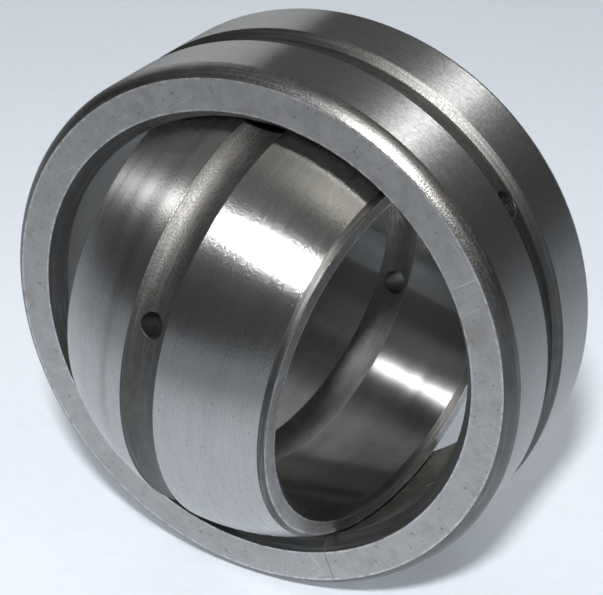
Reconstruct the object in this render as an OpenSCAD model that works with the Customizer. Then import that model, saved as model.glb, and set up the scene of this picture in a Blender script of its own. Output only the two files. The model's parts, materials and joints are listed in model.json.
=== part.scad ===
// Radial spherical plain bearing, steel on steel, with oil grooves and oil holes in both rings.
// The inner ring is a ball with its two ends cut flat and a bore through it. It swivels in the hollow
// seat of the outer ring. The outer ring is broken through at one place so that the ball can be put in.
// Millimetres, +Z up. The origin is the centre of the ball. The outer ring stands on its rim with its
// axis along Y and its front face towards -Y. The inner ring is swung out of line, as it was seen.

/* [Main sizes] */
// diameter of the bore that takes the shaft
bore_d = 40; // [30:0.5:50]
// wall of the inner ring at its middle, from the bore to the ball
inner_wall = 6.5; // [5.5:0.1:9]
// wall of the outer ring at its middle, from the ball to the outside
outer_wall = 4.5; // [3.5:0.1:8]
// width of the inner ring, end face to end face
inner_w = 28; // [24:0.5:31]
// width of the outer ring, face to face
outer_w = 22; // [18:0.5:25]
// play between the ball and its seat, measured on the radius
seat_play = 0.04; // [0.02:0.01:0.1]

/* [Outer ring] */
// length of the rounded lead-in along the outside
lead_w = 1.6; // [0.5:0.1:2.2]
// depth of the rounded lead-in, measured on the radius
lead_depth = 1.2; // [0.5:0.1:1.6]
// width of the oil groove around the outside, at its edges
outer_groove_w = 4.4; // [2.6:0.1:6]
// depth of the oil groove around the outside
outer_groove_depth = 1; // [0.4:0.1:1.4]
// angle between the walls of that groove and the radius
outer_groove_draft = 29; // [10:1:32]
// how far the mouth chamfer opens the seat at the faces, measured on the radius
mouth_open = 2.05; // [0.5:0.05:2.5]
// angle between the mouth chamfer and the axis
mouth_angle = 33; // [28:1:45]
// width of the break through the ring
break_w = 0.06; // [0.04:0.01:0.2]
// place of the break around the ring, from +X towards +Z
break_at = -69; // [-85:1:-55]
// diameter of the oil holes in the outer ring
outer_hole_d = 3; // [1.5:0.1:4]
// place of the first oil hole around the outer ring, from +X towards +Z
outer_hole_at = 35; // [20:1:60]

/* [Inner ring] */
// width of the oil groove around the ball
ball_groove_w = 4.7; // [2:0.1:6]
// depth of the oil groove around the ball, from its edges
ball_groove_depth = 0.9; // [0.4:0.1:1.5]
// width of the oil groove in the bore
bore_groove_w = 4.2; // [2:0.1:6]
// depth of the oil groove in the bore, measured on the radius
bore_groove_depth = 0.8; // [0.3:0.1:1.2]
// chamfer at both ends of the bore
bore_chamfer = 0.7; // [0.3:0.1:1]
// length of the corner chamfer between the ball and the end faces
corner_w = 0.6; // [0.2:0.1:0.9]
// angle between the corner chamfer and the axis
corner_angle = 40; // [38:1:50]
// diameter of the oil holes in the inner ring
inner_hole_d = 2.8; // [1.5:0.1:3.5]
// place of the first oil hole around the inner ring
inner_hole_at = 164.5; // [150:0.5:180]

/* [Pose] */
// how far the inner ring is swung out of line with the outer ring
swing = 79.8; // [70:0.1:85]
// lean of the swing axis away from upright, towards +X
swing_lean = 6.9; // [0:0.1:12]

/* [Hidden] */
$fn = 96;
// oil holes in each ring, evenly spaced
oil_holes = 2;
// overrun that takes a cutter clear of the face it starts from
over = 1;

bore_r = bore_d / 2;
ball_r = bore_r + inner_wall;
outer_r = ball_r + outer_wall;
seat_r = ball_r + seat_play;
inner_h = inner_w / 2;
outer_h = outer_w / 2;
// radius of the ball at the edges of its groove
ball_groove_r = sqrt(pow(ball_r, 2) - pow(ball_groove_w / 2, 2));

// the lead-in is an arc from the face to the outside, flatter than one that ends tangent there
lead_chord = sqrt(pow(lead_w, 2) + pow(lead_depth, 2));
lead_r = 1.4 * pow(lead_chord, 2) / (2 * min(lead_w, lead_depth));
lead_reach = sqrt(pow(lead_r, 2) - pow(lead_chord / 2, 2)) / lead_chord;

// half width of the flat floor of the outside groove, and how far its walls lean per depth
outer_groove_slope = tan(outer_groove_draft);
outer_floor_h = outer_groove_w / 2 - outer_groove_depth * outer_groove_slope;

// the corner chamfer leaves the ball at corner_r and meets the end face at end_r
corner_h = inner_h - corner_w;
corner_r = sqrt(pow(ball_r, 2) - pow(corner_h, 2));
end_r = corner_r - corner_w * tan(corner_angle);
// radius and height where the same slope, carried on outwards, is clear of the ball
clear_r = ball_r + over;
clear_h = inner_h - (clear_r - end_r) / tan(corner_angle);

// the mouth cutter runs from just outside the face to well inside the hollow of the seat
mouth_r = sqrt(pow(seat_r, 2) - pow(outer_h, 2)) + mouth_open;
mouth_slope = tan(mouth_angle);
mouth_depth = mouth_open / mouth_slope + over;

// radius of the round-nosed tool that cuts a groove of this width and depth
function tool_r(w, depth) = (pow(w / 2, 2) + pow(depth, 2)) / (2 * depth);

// what the rounded lead-in takes off the front outer corner
module lead_cutter() {
    difference() {
        rotate_extrude()
            polygon([
                [outer_r - lead_depth, outer_h],
                [outer_r - lead_depth, outer_h + over],
                [outer_r + over, outer_h + over],
                [outer_r + over, outer_h - lead_w],
                [outer_r, outer_h - lead_w]
            ]);
        rotate_extrude()
            translate([
                outer_r - lead_depth / 2 - lead_w * lead_reach,
                outer_h - lead_w / 2 - lead_depth * lead_reach
            ])
                circle(r = lead_r);
    }
}

// flat-bottomed groove around the outside, with leaning walls
module flat_groove() {
    rotate_extrude()
        polygon([
            [outer_r - outer_groove_depth, -outer_floor_h],
            [outer_r - outer_groove_depth, outer_floor_h],
            [outer_r + over, outer_groove_w / 2 + over * outer_groove_slope],
            [outer_r + over, -outer_groove_w / 2 - over * outer_groove_slope]
        ]);
}

// round-bottomed groove around the outside of a ring
module outside_groove(edge_r, w, depth) {
    rotate_extrude()
        translate([edge_r - depth + tool_r(w, depth), 0])
            circle(r = tool_r(w, depth));
}

// round-bottomed groove around the inside of a bore
module inside_groove(edge_r, w, depth) {
    rotate_extrude()
        translate([edge_r + depth - tool_r(w, depth), 0])
            circle(r = tool_r(w, depth));
}

// cone that opens the mouth of the seat at the front face
module mouth_cutter() {
    translate([0, 0, outer_h - mouth_depth])
        cylinder(
            h = mouth_depth + over,
            r1 = mouth_r - mouth_depth * mouth_slope,
            r2 = mouth_r + over * mouth_slope
        );
}

// radial drills from the axis outwards
module oil_drills(hole_d, first, reach) {
    for (i = [0 : oil_holes - 1])
        rotate([0, 0, first + i * 360 / oil_holes])
            rotate([0, 90, 0])
                cylinder(h = reach, d = hole_d);
}

// thin wedge through one side of the ring, with its two sides radial
module break_cutter() {
    rotate([0, 0, break_at])
        linear_extrude(height = outer_w + 2 * over, center = true)
            polygon([
                [0, 0],
                [2 * outer_r, -break_w],
                [2 * outer_r, break_w]
            ]);
}

module outer_ring() {
    color("silver")
        rotate([90, 0, 0])
            difference() {
                cylinder(h = outer_w, r = outer_r, center = true);
                sphere(r = seat_r);
                for (side = [0, 1])
                    mirror([0, 0, side]) {
                        lead_cutter();
                        mouth_cutter();
                    }
                flat_groove();
                oil_drills(outer_hole_d, outer_hole_at, outer_r + over);
                break_cutter();
            }
}

// turned blank of the inner ring: bore with its chamfers, end faces and corner chamfers
module inner_blank() {
    rotate_extrude()
        polygon([
            [bore_r, -inner_h + bore_chamfer],
            [bore_r + bore_chamfer, -inner_h],
            [end_r, -inner_h],
            [clear_r, -clear_h],
            [clear_r, clear_h],
            [end_r, inner_h],
            [bore_r + bore_chamfer, inner_h],
            [bore_r, inner_h - bore_chamfer]
        ]);
}

module inner_ring() {
    color("lightgray")
        rotate([0, swing_lean, 0])
            rotate([0, 0, swing])
                rotate([90, 0, 0])
                    difference() {
                        intersection() {
                            sphere(r = ball_r);
                            inner_blank();
                        }
                        outside_groove(ball_groove_r, ball_groove_w, ball_groove_depth);
                        inside_groove(bore_r, bore_groove_w, bore_groove_depth);
                        oil_drills(inner_hole_d, inner_hole_at, ball_r + over);
                    }
}

outer_ring();
inner_ring();
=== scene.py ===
"""Looks of a spherical plain bearing: two steel rings on a pale floor.

Metres, in the same frame as the CAD.
"""

import json
from math import hypot, radians

import bpy
from mathutils import Matrix, Vector

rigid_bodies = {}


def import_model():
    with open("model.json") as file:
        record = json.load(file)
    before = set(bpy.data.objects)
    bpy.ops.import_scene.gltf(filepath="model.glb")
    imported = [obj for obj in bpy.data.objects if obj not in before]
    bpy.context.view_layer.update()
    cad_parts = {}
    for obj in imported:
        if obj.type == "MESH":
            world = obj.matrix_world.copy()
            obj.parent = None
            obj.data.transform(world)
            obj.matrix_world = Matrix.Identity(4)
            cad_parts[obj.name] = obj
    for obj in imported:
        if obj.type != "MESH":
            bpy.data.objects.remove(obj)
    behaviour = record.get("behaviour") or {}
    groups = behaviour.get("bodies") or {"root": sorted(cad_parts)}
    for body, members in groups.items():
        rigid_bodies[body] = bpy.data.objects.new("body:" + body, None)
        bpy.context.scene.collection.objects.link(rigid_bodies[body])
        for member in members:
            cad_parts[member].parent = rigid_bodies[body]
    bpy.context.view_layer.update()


for left_over in list(bpy.data.objects):
    bpy.data.objects.remove(left_over)

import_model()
scene = bpy.context.scene

MM = 0.001

# The CAD turns each ring about its own Z and then lays it into the frame.
SWING = 79.8
SWING_LEAN = 6.9
OUTER_TURN = Matrix.Rotation(radians(90), 3, "X")
INNER_TURN = (
    Matrix.Rotation(radians(SWING_LEAN), 3, "Y")
    @ Matrix.Rotation(radians(SWING), 3, "Z")
    @ OUTER_TURN
)

# Sizes of the CAD in millimetres, by which the turned surfaces are told apart.
OUTER_R = 31.0
OUTER_HALF_W = 11.0
LEAD_W = 1.6
LEAD_DEPTH = 1.2
OUTER_GROOVE_HALF_W = 2.2
SEAT_R = 26.54
MOUTH_R = 26.2
MOUTH_FROM = 9.0
BALL_R = 26.5
BORE_R = 20.0
INNER_HALF_W = 14.0
END_R = 22.36
CORNER_W = 0.6
BORE_CHAMFER = 0.7
BALL_GROOVE_HALF_W = 2.35
BORE_GROOVE_HALF_W = 2.1
# Flat surfaces are exact. Round ones are off by the sag of their facets.
FLAT_SLACK = 0.01
ROUND_SLACK = 0.06
# Least part of a face's normal along the axis, or across it, that counts as pointing that way.
ALONG = 0.5
ACROSS = 0.3

# Most values of a noise texture lie between these.
NOISE_LOW = 0.3
NOISE_HIGH = 0.7
# Sockets of the colour mix, whose names are shared with those for other data types.
MIX_AMOUNT, MIX_FIRST, MIX_SECOND, MIX_RESULT = 0, 6, 7, 2

# Skin of the turned surfaces, from the dark grooves, whose floor round the outer ring is darkened
# as painted shade, to the bright crests of the tool lines.
# Painted shade: the darkest tone, laid only on the floor of the groove round the outer ring, as
# the shade in that recess.
GROOVE_FLOOR_SHADE = (0.055, 0.054, 0.052, 1)
DARK = (0.09, 0.089, 0.086, 1)
BROWN = (0.13, 0.128, 0.124, 1)
GREY = (0.18, 0.178, 0.175, 1)
PALE = (0.29, 0.288, 0.284, 1)
RUST = (0.22, 0.13, 0.075, 1)
DRILLED_LOW = (0.085, 0.082, 0.077, 1)
DRILLED_HIGH = (0.19, 0.182, 0.174, 1)
# Ground surfaces.
FACE_LOW = (0.355, 0.348, 0.343, 1)
FACE_HIGH = (0.47, 0.461, 0.455, 1)
END_LOW = (0.29, 0.288, 0.285, 1)
END_HIGH = (0.40, 0.398, 0.395, 1)
FACE_LINE = (0.36, 0.36, 0.365, 1)
FACE_STAIN = (0.29, 0.26, 0.23, 1)
FACE_PIT = (0.17, 0.15, 0.13, 1)
FACE_SCRATCH = (0.62, 0.63, 0.64, 1)
# Bright edge dashes: wear and a painted edge highlight.
WORN_EDGE_AND_GLINT = (0.85, 0.85, 0.85, 1)
RIM_LOW = (0.34, 0.342, 0.345, 1)
RIM_HIGH = (0.41, 0.412, 0.415, 1)
RIM_LINE = (0.28, 0.28, 0.28, 1)
RIM_PIT = (0.15, 0.14, 0.13, 1)
# Lapped surfaces.
SEAT_LOW = (0.31, 0.305, 0.29, 1)
SEAT_HIGH = (0.37, 0.365, 0.35, 1)
BALL_LOW = (0.41, 0.41, 0.41, 1)
BALL_HIGH = (0.46, 0.46, 0.46, 1)
BORE_LOW = (0.48, 0.48, 0.475, 1)
BORE_HIGH = (0.52, 0.52, 0.515, 1)
RUBBED = (0.27, 0.265, 0.255, 1)
WEAR_LINE = (0.32, 0.315, 0.305, 1)
BLOOM = (0.31, 0.305, 0.295, 1)
WEAR_SCRATCH = (0.66, 0.66, 0.66, 1)
SPECK = (0.14, 0.12, 0.10, 1)
# Height on the ring's axis of the rubbed band around the ball.
RUBBED_AT = -5.2 * MM


class Finish:
    """One procedural finish. Its textures run in the ring's own turning coordinates."""

    def __init__(self, name, turn):
        self.mat = bpy.data.materials.new(name)
        self.mat.use_nodes = True
        self.tree = self.mat.node_tree
        self.tree.nodes.clear()
        self.out = self.node("ShaderNodeOutputMaterial")
        self.shader = self.node("ShaderNodeBsdfPrincipled")
        self.link(self.shader.outputs["BSDF"], self.out.inputs["Surface"])
        coord = self.node("ShaderNodeTexCoord")
        mapping = self.node("ShaderNodeMapping")
        mapping.inputs["Rotation"].default_value = turn.transposed().to_euler("XYZ")
        self.link(coord.outputs["Object"], mapping.inputs["Vector"])
        self.place = mapping.outputs["Vector"]
        self.axis = turn @ Vector((0, 0, 1))

    def node(self, kind, **props):
        made = self.tree.nodes.new(kind)
        for key, value in props.items():
            setattr(made, key, value)
        return made

    def link(self, source, target):
        self.tree.links.new(source, target)

    def put(self, target, value):
        """Links a socket to the target, or sets a plain value on it."""
        if isinstance(value, bpy.types.NodeSocket):
            self.link(value, target)
        else:
            target.default_value = value

    def set(self, **values):
        """Sets inputs of the shader, with _ for the spaces in their names."""
        for key, value in values.items():
            self.put(self.shader.inputs[key.replace("_", " ")], value)

    def math(self, operation, *values):
        made = self.node("ShaderNodeMath", operation=operation)
        for target, value in zip(made.inputs, values):
            self.put(target, value)
        return made.outputs["Value"]

    def spread(self, value, low, high, to_low=0.0, to_high=1.0):
        """Maps low to high onto to_low to to_high, held at both ends."""
        made = self.node("ShaderNodeMapRange")
        self.put(made.inputs["Value"], value)
        made.inputs["From Min"].default_value = low
        made.inputs["From Max"].default_value = high
        made.inputs["To Min"].default_value = to_low
        made.inputs["To Max"].default_value = to_high
        return made.outputs["Result"]

    def vary(self, noise, to_low=0.0, to_high=1.0):
        """Maps the usual range of a noise onto to_low to to_high."""
        return self.spread(noise, NOISE_LOW, NOISE_HIGH, to_low, to_high)

    def near(self, value, middle, none, full):
        """1 where the value is within full of the middle, down to 0 at none."""
        distance = self.math("ABSOLUTE", self.math("SUBTRACT", value, middle))
        return self.spread(distance, none, full)

    def mix(self, amount, first, second):
        made = self.node("ShaderNodeMix", data_type="RGBA")
        self.put(made.inputs[MIX_AMOUNT], amount)
        self.put(made.inputs[MIX_FIRST], first)
        self.put(made.inputs[MIX_SECOND], second)
        return made.outputs[MIX_RESULT]

    def turning(self):
        """Place in turning coordinates: x and y across the axis, z along it, and the radius."""
        parts = self.node("ShaderNodeSeparateXYZ")
        self.link(self.place, parts.inputs["Vector"])
        x, y, z = parts.outputs
        squares = self.math("ADD", self.math("MULTIPLY", x, x), self.math("MULTIPLY", y, y))
        return x, y, z, self.math("SQRT", squares)

    def lines(self, around, pitch):
        """Noise drawn out into lines around the ring with no seam, 0 to 1."""
        x, y, z, radius = self.turning()
        joined = self.node("ShaderNodeCombineXYZ")
        for key, across in (("X", x), ("Y", y)):
            turned_by = self.math("DIVIDE", across, radius)
            self.link(self.math("MULTIPLY", turned_by, around), joined.inputs[key])
        self.link(self.math("MULTIPLY", z, 1 / pitch), joined.inputs["Z"])
        made = self.node("ShaderNodeTexNoise", noise_dimensions="4D")
        self.link(joined.outputs["Vector"], made.inputs["Vector"])
        self.link(self.math("MULTIPLY", radius, 1 / pitch), made.inputs["W"])
        made.inputs["Scale"].default_value = 1.0
        made.inputs["Detail"].default_value = 2.0
        made.inputs["Roughness"].default_value = 0.5
        return made.outputs["Fac"]

    def cloud(self, size, detail=3.0, rough=0.6, shift=0.0):
        """Plain noise with cells of the given size, 0 to 1. Another shift gives another cloud."""
        made = self.node("ShaderNodeTexNoise", noise_dimensions="4D")
        self.link(self.place, made.inputs["Vector"])
        made.inputs["W"].default_value = shift
        made.inputs["Scale"].default_value = 1 / size
        made.inputs["Detail"].default_value = detail
        made.inputs["Roughness"].default_value = rough
        return made.outputs["Fac"]

    def scratches(self, angles, shift):
        """A few fine straight scratches laid at the given angles, 0 to 1."""
        laid = self.node("ShaderNodeMapping", vector_type="TEXTURE")
        laid.inputs["Rotation"].default_value = [radians(angle) for angle in angles]
        laid.inputs["Scale"].default_value = (6.0 * MM, 0.24 * MM, 0.24 * MM)
        self.link(self.place, laid.inputs["Vector"])
        made = self.node("ShaderNodeTexNoise", noise_dimensions="4D")
        self.link(laid.outputs["Vector"], made.inputs["Vector"])
        made.inputs["W"].default_value = shift
        made.inputs["Scale"].default_value = 1.0
        made.inputs["Detail"].default_value = 1.0
        return self.spread(made.outputs["Fac"], 0.67, 0.77)

    def eased(self, radius):
        """Normal that rounds off the edges by the radius."""
        made = self.node("ShaderNodeBevel", samples=4)
        made.inputs["Radius"].default_value = radius
        return made.outputs["Normal"]

    def bump(self, height, depth, strength=1.0, over=None):
        made = self.node("ShaderNodeBump")
        made.inputs["Strength"].default_value = strength
        made.inputs["Distance"].default_value = depth
        self.link(height, made.inputs["Height"])
        if over is not None:
            self.link(over, made.inputs["Normal"])
        return made.outputs["Normal"]

    def grain_along_axis(self):
        """Lines around the ring smear the light along its axis."""
        made = self.node(
            "ShaderNodeVectorTransform",
            vector_type="VECTOR",
            convert_from="OBJECT",
            convert_to="WORLD",
        )
        made.inputs["Vector"].default_value = self.axis
        self.link(made.outputs["Vector"], self.shader.inputs["Tangent"])


def ground_face(name, turn, low, high, inner_edge, outer_edge):
    """Flat ground face: satin and mottled, with grinding lines and scratches.

    It also has pits, brown stains and bright broken edges at the two radii, which are worn edges
    and a painted edge highlight.
    """
    f = Finish(name, turn)
    mottle = f.cloud(1.3 * MM, detail=5.0, rough=0.68)
    fine = f.cloud(0.2 * MM, shift=3.0)
    rings = f.lines(30.0, 0.16 * MM)
    stain = f.spread(f.cloud(5.0 * MM, detail=4.0, shift=11.0), 0.56, 0.68, 0.0, 0.5)
    pits = f.spread(f.cloud(0.45 * MM, detail=2.0, rough=0.5, shift=7.0), 0.65, 0.70)
    marks = f.math("MAXIMUM", f.scratches((0, 0, 35), 1.0), f.scratches((0, 0, -50), 4.0))
    radius = f.turning()[3]
    edges = f.math(
        "MAXIMUM",
        f.near(radius, inner_edge, 0.28 * MM, 0.12 * MM),
        f.near(radius, outer_edge, 0.34 * MM, 0.1 * MM),
    )
    # Edges to paint bright: worn edges and a painted edge highlight.
    worn = f.math("MULTIPLY", edges, f.spread(f.cloud(0.7 * MM, shift=5.0), 0.38, 0.6))

    tone = f.mix(f.spread(mottle, 0.32, 0.68), low, high)
    tone = f.mix(f.spread(rings, 0.35, 0.7, 0.0, 0.3), tone, FACE_LINE)
    tone = f.mix(stain, tone, FACE_STAIN)
    tone = f.mix(f.math("MULTIPLY", pits, 0.65), tone, FACE_PIT)
    tone = f.mix(f.math("MULTIPLY", marks, 0.6), tone, FACE_SCRATCH)
    # Painted edge highlight on worn edges: broken bright dashes along both edges of the face.
    tone = f.mix(f.math("MULTIPLY", worn, 0.55), tone, WORN_EDGE_AND_GLINT)
    rough = f.math("ADD", f.vary(mottle, 0.34, 0.43), f.vary(fine, -0.05, 0.05))
    surface = f.bump(fine, 0.008 * MM, 0.7, f.eased(0.25 * MM))
    surface = f.bump(marks, -0.012 * MM, 0.6, surface)
    f.set(Base_Color=tone, Metallic=1.0, Roughness=rough, Normal=surface)
    return f.mat


def ground_rim(name, turn):
    """Outside of the ring: ground around, faintly mottled, light drawn out along the axis."""
    f = Finish(name, turn)
    mottle = f.cloud(0.7 * MM, detail=4.0, rough=0.65)
    fine = f.cloud(0.27 * MM, rough=0.7, shift=3.0)
    rings = f.lines(12.0, 0.22 * MM)
    pits = f.spread(f.cloud(0.4 * MM, detail=2.0, rough=0.5, shift=7.0), 0.66, 0.71)

    tone = f.mix(f.vary(mottle), RIM_LOW, RIM_HIGH)
    tone = f.mix(f.spread(rings, 0.4, 0.7, 0.0, 0.3), tone, RIM_LINE)
    tone = f.mix(f.math("MULTIPLY", pits, 0.5), tone, RIM_PIT)
    rough = f.math("ADD", f.vary(mottle, 0.315, 0.345), f.vary(fine, -0.02, 0.02))
    surface = f.bump(fine, 0.008 * MM, 1.0, f.eased(0.12 * MM))
    surface = f.bump(rings, 0.012 * MM, 1.0, surface)
    f.set(Base_Color=tone, Metallic=1.0, Anisotropic=1.0, Roughness=rough, Normal=surface)
    f.grain_along_axis()
    return f.mat


def turned(name, turn, low, high, crest, grit, rough=0.5, grain=0.7):
    """Turned and hardened, never ground: dark skin with tool lines, grit and specks of rust."""
    f = Finish(name, turn)
    rings = f.lines(3.0, 0.3 * MM)
    fine = f.cloud(0.26 * MM, rough=0.65)
    patch = f.math(
        "ADD",
        f.math("MULTIPLY", f.cloud(2.0 * MM, detail=4.0, rough=0.65, shift=2.0), 0.6),
        f.math("MULTIPLY", f.lines(5.0, 0.9 * MM), 0.4),
    )
    rust = f.spread(f.cloud(0.9 * MM, shift=9.0), 0.66, 0.72, 0.0, 0.6)

    tone = f.mix(f.spread(patch, 0.35, 0.65), low, high)
    tone = f.mix(f.spread(rings, 0.5, 0.7, 0.0, 0.65), tone, crest)
    tone = f.mix(f.spread(fine, 0.55, 0.75, 0.0, 0.5), tone, low)
    tone = f.mix(rust, tone, RUST)
    surface = f.bump(fine, grit * MM, 0.8, f.eased(0.25 * MM))
    surface = f.bump(rings, 0.006 * MM, 0.6, surface)
    f.set(Base_Color=tone, Metallic=1.0, Anisotropic=grain)
    f.set(Roughness=f.vary(fine, rough - 0.1, rough + 0.1), Normal=surface)
    f.grain_along_axis()
    return f.mat


def polished(name, turn, low, high, rough, frost=0.0, band=None):
    """Lapped running surface: light drawn out along the axis, faint bands, stray specks.

    With a band it is worn: frosted, with fine lines and scratches, and rubbed darker at
    that height on the axis.
    """
    f = Finish(name, turn)
    bands = f.lines(1.5, 1.6 * MM)
    tone = f.mix(f.vary(bands), low, high)
    surface = f.eased(0.1 * MM)
    if band is not None:
        rubbed = f.near(f.turning()[2], band, 0.9 * MM, 0.3 * MM)
        worn = f.math("MULTIPLY", rubbed, f.spread(bands, 0.35, 0.6, 0.25, 0.6))
        rings = f.lines(6.0, 0.22 * MM)
        bloom = f.cloud(0.27 * MM, rough=0.7)
        marks = f.math(
            "MAXIMUM",
            f.scratches((50, 20, 35), 1.0),
            f.scratches((-40, 65, 10), 4.0),
        )
        tone = f.mix(worn, tone, RUBBED)
        tone = f.mix(f.spread(rings, 0.45, 0.75, 0.0, 0.4), tone, WEAR_LINE)
        tone = f.mix(f.spread(bloom, 0.5, 0.75, 0.0, 0.4), tone, BLOOM)
        tone = f.mix(f.math("MULTIPLY", marks, 0.5), tone, WEAR_SCRATCH)
        surface = f.bump(bloom, frost * MM, 1.0, surface)
        surface = f.bump(rings, 0.5 * frost * MM, 1.0, surface)
    specks = f.cloud(0.4 * MM, detail=2.0, rough=0.5, shift=5.0)
    tone = f.mix(f.spread(specks, 0.68, 0.72, 0.0, 0.6), tone, SPECK)
    f.set(Base_Color=tone, Metallic=1.0, Anisotropic=1.0)
    f.set(Roughness=f.vary(bands, rough - 0.02, rough + 0.02), Normal=surface)
    f.grain_along_axis()
    return f.mat


def inside(name, turn):
    """Walls of the oil holes and of the break: drilled, dull and oily."""
    f = Finish(name, turn)
    fine = f.cloud(0.2 * MM)
    f.set(Base_Color=f.mix(f.vary(fine), DRILLED_LOW, DRILLED_HIGH), Metallic=1.0)
    f.set(Roughness=f.vary(fine, 0.35, 0.55))
    f.set(Normal=f.bump(fine, 0.02 * MM, 0.6, f.eased(0.15 * MM)))
    return f.mat


def on_ring(turn, place, normal):
    """Radius and height of a face on its ring in millimetres, and how its normal points.

    The last two are the normal's part away from the axis and the size of its part along it.
    """
    p = turn.transposed() @ place / MM
    n = turn.transposed() @ normal
    radius = hypot(p.x, p.y)
    return radius, abs(p.z), (n.x * p.x + n.y * p.y) / radius, abs(n.z)


def outer_zone(place, normal):
    """Name of the turned surface that a face of the outer ring belongs to."""
    radius, height, outward, along = on_ring(OUTER_TURN, place, normal)
    if height > OUTER_HALF_W - FLAT_SLACK:
        return "face"
    if height > OUTER_HALF_W - LEAD_W - FLAT_SLACK and radius > OUTER_R - LEAD_DEPTH - ROUND_SLACK:
        return "lead"
    if radius > OUTER_R - ROUND_SLACK and along < ALONG:
        return "rim"
    if abs(hypot(radius, height) - SEAT_R) < ROUND_SLACK:
        return "seat"
    if height > MOUTH_FROM and radius < MOUTH_R + ROUND_SLACK and along > ALONG:
        return "mouth"
    if height < OUTER_GROOVE_HALF_W + ROUND_SLACK and outward > ACROSS:
        return "groove_wall" if along > ALONG else "groove"
    return "inside"


def inner_zone(place, normal):
    """Name of the turned surface that a face of the inner ring belongs to."""
    radius, height, outward, along = on_ring(INNER_TURN, place, normal)
    if height > INNER_HALF_W - FLAT_SLACK:
        return "end"
    if height > INNER_HALF_W - CORNER_W and radius > END_R - ROUND_SLACK:
        return "corner"
    if abs(hypot(radius, height) - BALL_R) < ROUND_SLACK:
        return "ball"
    if height > INNER_HALF_W - BORE_CHAMFER and radius < BORE_R + BORE_CHAMFER + ROUND_SLACK:
        return "chamfer"
    if abs(radius - BORE_R) < ROUND_SLACK and along < ALONG:
        return "bore"
    if height < BALL_GROOVE_HALF_W + ROUND_SLACK and outward > ACROSS:
        return "groove"
    if height < BORE_GROOVE_HALF_W + ROUND_SLACK and outward < -ACROSS:
        return "bore_groove"
    return "inside"


def dress(node, zone_of, finishes):
    """Gives each turned surface of a CAD node its own finish."""
    mesh = bpy.data.objects[node].data
    mesh.materials.clear()
    names = list(finishes)
    for name in names:
        mesh.materials.append(finishes[name])
    for face in mesh.polygons:
        face.material_index = names.index(zone_of(face.center, face.normal))


dress("outer_ring", outer_zone, {
    "face": ground_face(
        "outer_ground_face", OUTER_TURN, FACE_LOW, FACE_HIGH,
        inner_edge=MOUTH_R * MM, outer_edge=(OUTER_R - LEAD_DEPTH) * MM,
    ),
    "lead": turned(
        "outer_turned_lead", OUTER_TURN, BROWN, GREY, PALE, grit=0.04, rough=0.38, grain=0.3,
    ),
    "rim": ground_rim("outer_ground_rim", OUTER_TURN),
    # Painted shade: the floor of the groove round the outer ring is a whole step darker than its
    # walls, as the shade in the recess.
    "groove": turned("outer_turned_groove", OUTER_TURN, GROOVE_FLOOR_SHADE, DARK, BROWN, grit=0.012),
    "groove_wall": turned("outer_turned_groove_wall", OUTER_TURN, BROWN, GREY, PALE, grit=0.012),
    "mouth": turned("outer_turned_mouth", OUTER_TURN, BROWN, GREY, PALE, grit=0.012),
    "seat": polished("outer_lapped_seat", OUTER_TURN, SEAT_LOW, SEAT_HIGH, rough=0.26),
    "inside": inside("outer_drilled", OUTER_TURN),
})
dress("inner_ring", inner_zone, {
    "ball": polished(
        "inner_lapped_ball", INNER_TURN, BALL_LOW, BALL_HIGH,
        rough=0.275, frost=0.017, band=RUBBED_AT,
    ),
    "groove": turned(
        "inner_turned_groove", INNER_TURN, DARK, BROWN, GREY, grit=0.04, rough=0.52, grain=0.3,
    ),
    "corner": turned("inner_turned_corner", INNER_TURN, DARK, BROWN, PALE, grit=0.02),
    "end": ground_face(
        "inner_ground_end", INNER_TURN, END_LOW, END_HIGH,
        inner_edge=(BORE_R + BORE_CHAMFER) * MM, outer_edge=END_R * MM,
    ),
    "chamfer": turned("inner_turned_chamfer", INNER_TURN, BROWN, GREY, PALE, grit=0.01),
    "bore": polished("inner_lapped_bore", INNER_TURN, BORE_LOW, BORE_HIGH, rough=0.22),
    "bore_groove": turned(
        "inner_turned_bore_groove", INNER_TURN, GREY, PALE, PALE, grit=0.012, rough=0.55,
    ),
    "inside": inside("inner_drilled", INNER_TURN),
})

# Pale floor under the rim of the outer ring.
FLOOR_Z = -OUTER_R * MM
FLOOR_HALF = 4.0
PAPER_LOW = (0.77, 0.83, 0.91, 1)
PAPER_HIGH = (0.80, 0.86, 0.94, 1)
OWN_COLOUR = 0.25
floor_mesh = bpy.data.meshes.new("floor")
floor_corners = [
    (-FLOOR_HALF, -FLOOR_HALF, FLOOR_Z),
    (FLOOR_HALF, -FLOOR_HALF, FLOOR_Z),
    (FLOOR_HALF, FLOOR_HALF, FLOOR_Z),
    (-FLOOR_HALF, FLOOR_HALF, FLOOR_Z),
]
floor_mesh.from_pydata(floor_corners, [], [(0, 1, 2, 3)])
floor = bpy.data.objects.new("floor", floor_mesh)
scene.collection.objects.link(floor)
paper = Finish("pale_paper", Matrix.Identity(3))
fibre = paper.cloud(1.5 * MM, detail=4.0)
pale = paper.mix(paper.vary(fibre), PAPER_LOW, PAPER_HIGH)
paper.set(Base_Color=pale, Roughness=0.85, Normal=paper.bump(fibre, 0.03 * MM, 0.3))
# To the camera and in the metal the floor keeps part of its own colour where little light falls.
ray = paper.node("ShaderNodeLightPath").outputs
seen = paper.math("MAXIMUM", ray["Is Camera Ray"], ray["Is Glossy Ray"])
seen = paper.math("MAXIMUM", seen, ray["Is Transmission Ray"])
glow = paper.node("ShaderNodeEmission")
paper.link(pale, glow.inputs["Color"])
both = paper.node("ShaderNodeMixShader")
paper.link(paper.math("MULTIPLY", seen, OWN_COLOUR), both.inputs[0])
paper.link(paper.shader.outputs["BSDF"], both.inputs[1])
paper.link(glow.outputs["Emission"], both.inputs[2])
paper.link(both.outputs["Shader"], paper.out.inputs["Surface"])
floor_mesh.materials.append(paper.mat)


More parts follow.
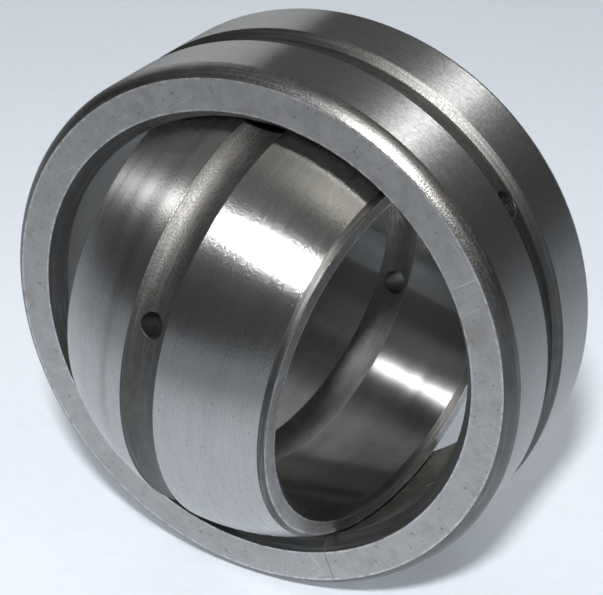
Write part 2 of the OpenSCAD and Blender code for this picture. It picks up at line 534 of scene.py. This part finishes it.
def towards(azimuth, elevation, distance):
    """Point seen from the origin: azimuth 0 is the front, -Y, and 90 is +X."""
    level = Matrix.Rotation(radians(azimuth), 3, "Z") @ Vector((0, -1, 0))
    side = Matrix.Rotation(radians(azimuth), 3, "Z") @ Vector((-1, 0, 0))
    return distance * (Matrix.Rotation(radians(elevation), 3, side) @ level)


def lamp(name, kind, place, power, colour, aim=(0, 0, 0), **settings):
    """Adds a lamp that stands at the place and shines at the aim."""
    data = bpy.data.lights.new(name, kind)
    data.energy = power
    data.color = colour
    for key, value in settings.items():
        setattr(data, key, value)
    made = bpy.data.objects.new(name, data)
    made.location = place
    made.rotation_euler = (Vector(aim) - place).to_track_quat("-Z", "Y").to_euler()
    scene.collection.objects.link(made)


# The key stands near, as the photo's lamp does, and shines past the bearing onto the far floor.
lamp(
    "key", "SPOT", towards(azimuth=24.6, elevation=43.5, distance=0.34),
    power=7.4, colour=(1.0, 0.995, 0.985), aim=(-0.10, 0.18, FLOOR_Z),
    shadow_soft_size=0.018, spot_size=radians(70), spot_blend=1.0,
)
lamp(
    "fill", "AREA", towards(azimuth=-128, elevation=27, distance=1.2),
    power=2.1, colour=(0.97, 0.99, 1.0), shape="DISK", size=0.8,
)
lamp(
    "ceiling", "AREA", towards(azimuth=80, elevation=66, distance=1.0),
    power=0.5, colour=(1.0, 0.96, 0.84), shape="DISK", size=0.32,
)

# Dim room that is lighter towards its ceiling.
ROOM_LOW = (0.085, 0.085, 0.085, 1)
ROOM_HIGH = (0.22, 0.22, 0.215, 1)
world = bpy.data.worlds.new("room")
scene.world = world
world.use_nodes = True
tree = world.node_tree
coord = tree.nodes.new("ShaderNodeTexCoord")
height = tree.nodes.new("ShaderNodeSeparateXYZ")
ramp = tree.nodes.new("ShaderNodeValToRGB")
tree.links.new(coord.outputs["Generated"], height.inputs["Vector"])
tree.links.new(height.outputs["Z"], ramp.inputs["Fac"])
tree.links.new(ramp.outputs["Color"], tree.nodes["Background"].inputs["Color"])
room_low, room_high = ramp.color_ramp.elements
room_low.position = 0.3
room_low.color = ROOM_LOW
room_high.position = 0.85
room_high.color = ROOM_HIGH

# Place, direction and lens come from a fit to the edges of both rings in the photo.
CAMERA_PLACE = (0.0912536, -0.1672693, 0.0995059)
CAMERA_LOOK = (-0.4228063, 0.7796900, -0.4618641)
camera_data = bpy.data.cameras.new("camera")
camera_data.sensor_width = 36
camera_data.lens = 114.09
camera_data.clip_start = 0.01
camera = bpy.data.objects.new("camera", camera_data)
camera.location = CAMERA_PLACE
camera.rotation_euler = Vector(CAMERA_LOOK).to_track_quat("-Z", "Y").to_euler()
scene.collection.objects.link(camera)
scene.camera = camera

scene.view_settings.view_transform = "Standard"
